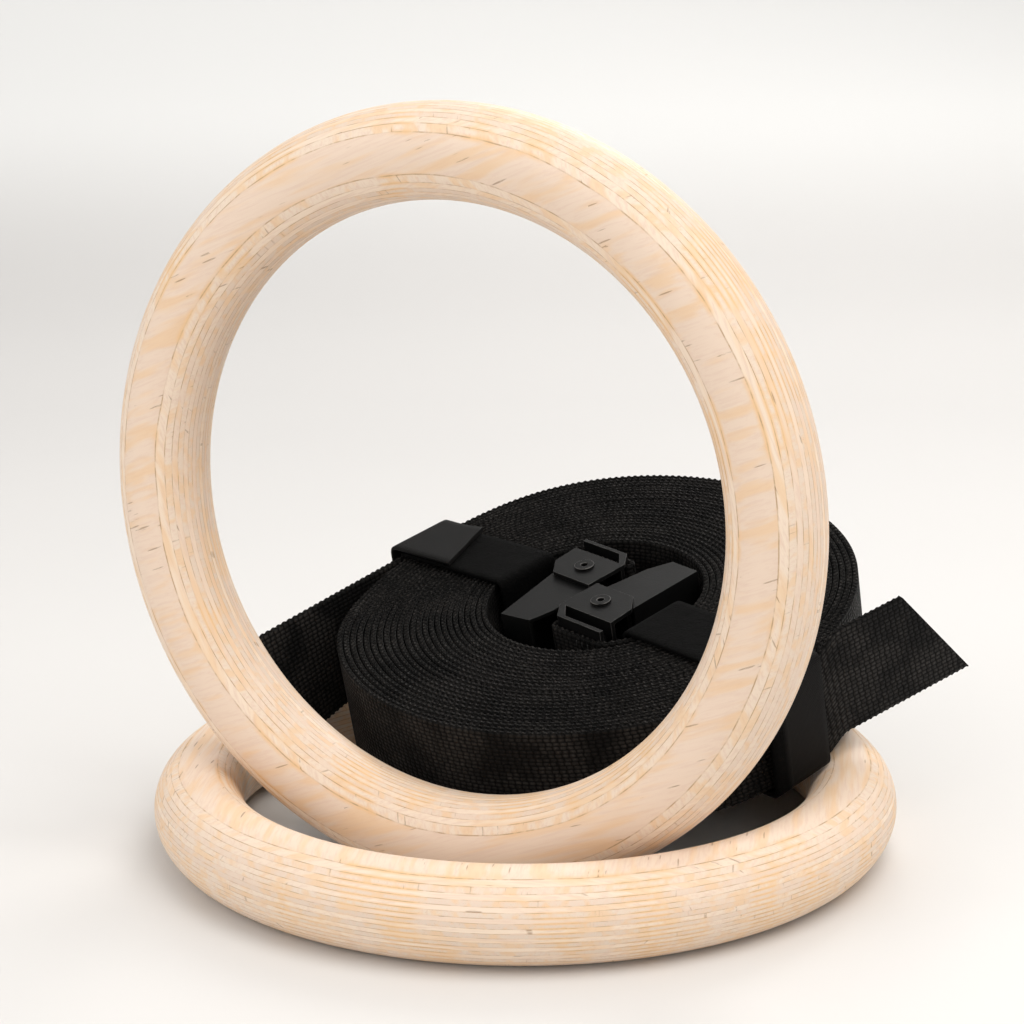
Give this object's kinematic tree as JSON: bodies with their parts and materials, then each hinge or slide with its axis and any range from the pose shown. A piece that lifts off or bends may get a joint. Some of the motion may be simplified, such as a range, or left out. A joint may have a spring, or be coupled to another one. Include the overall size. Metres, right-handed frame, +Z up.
{
  "type": "gymnastics rings",
  "caption": "Wooden gymnastics rings, one lying flat and one standing in it, with black webbing hanging straps coiled behind them, cam buckles inside and a tie band.",
  "frame": {"origin": "on the floor, under the centre of the lying ring", "axes": "+Z up; -Y is the side the rings are looked at from, +X to its right"},
  "size_m": [0.2735, 0.2546, 0.237],
  "materials": {
    "ring_wood": "sanded birch and beech ply, unvarnished",
    "webbing": "black plain-woven polypropylene webbing",
    "thread": "black bonded thread",
    "black_steel": "black powder coat, worn at the edges",
    "rivet_steel": "black painted rivet",
    "spring_steel": "oiled spring wire",
    "hook_and_loop": "black loop-pile tape",
    "tab_tape": "black smooth tape back"
  },
  "bodies": {
    "lying_ring": {"ring_lower": "ring_wood"},
    "standing_ring": {"ring_upper": "ring_wood"},
    "strap_bundle": {"strap_1_coil": "webbing", "strap_1_tail": "webbing", "strap_1_buckle_loop": "webbing", "strap_1_stitching": "thread", "strap_2_coil": "webbing", "strap_2_tail": "webbing", "strap_2_buckle_loop": "webbing", "strap_2_stitching": "thread", "buckle_1_frame": "black_steel", "buckle_1_axle": "rivet_steel", "buckle_1_spring": "spring_steel", "buckle_2_frame": "black_steel", "buckle_2_axle": "rivet_steel", "buckle_2_spring": "spring_steel", "tie_band": "hook_and_loop"},
    "lever_1": {"buckle_1_cam_lever": "black_steel"},
    "lever_2": {"buckle_2_cam_lever": "black_steel"},
    "hook_tab": {"tie_band_hook_tab": "tab_tape"}
  },
  "joints": [
    {"name": "standing_ring_lift", "type": "slide", "parent": "lying_ring", "child": "standing_ring", "axis": [-0.0583, -0.104, 0.9929], "range_m": [0, 0.25]},
    {"name": "strap_bundle_lift", "type": "slide", "parent": "lying_ring", "child": "strap_bundle", "axis": [0, 0.5, 0.866], "range_m": [0, 0.12]},
    {"name": "lever_1_turn", "type": "hinge", "parent": "strap_bundle", "child": "lever_1", "pos_m": [0.02856, 0.03172, 0.04887], "axis": [-0.1392, -0.217, 0.9662], "range_deg": [0, 14]},
    {"name": "lever_2_turn", "type": "hinge", "parent": "strap_bundle", "child": "lever_2", "pos_m": [0.02419, 0.05771, 0.05408], "axis": [-0.1392, -0.217, 0.9662], "range_deg": [-14, 0]},
    {"name": "hook_tab_peel", "type": "hinge", "parent": "strap_bundle", "child": "hook_tab", "pos_m": [-0.03774, 0.10629, 0.07708], "axis": [-0.7429, -0.6222, -0.2468], "range_deg": [0, 120]}
  ]
}
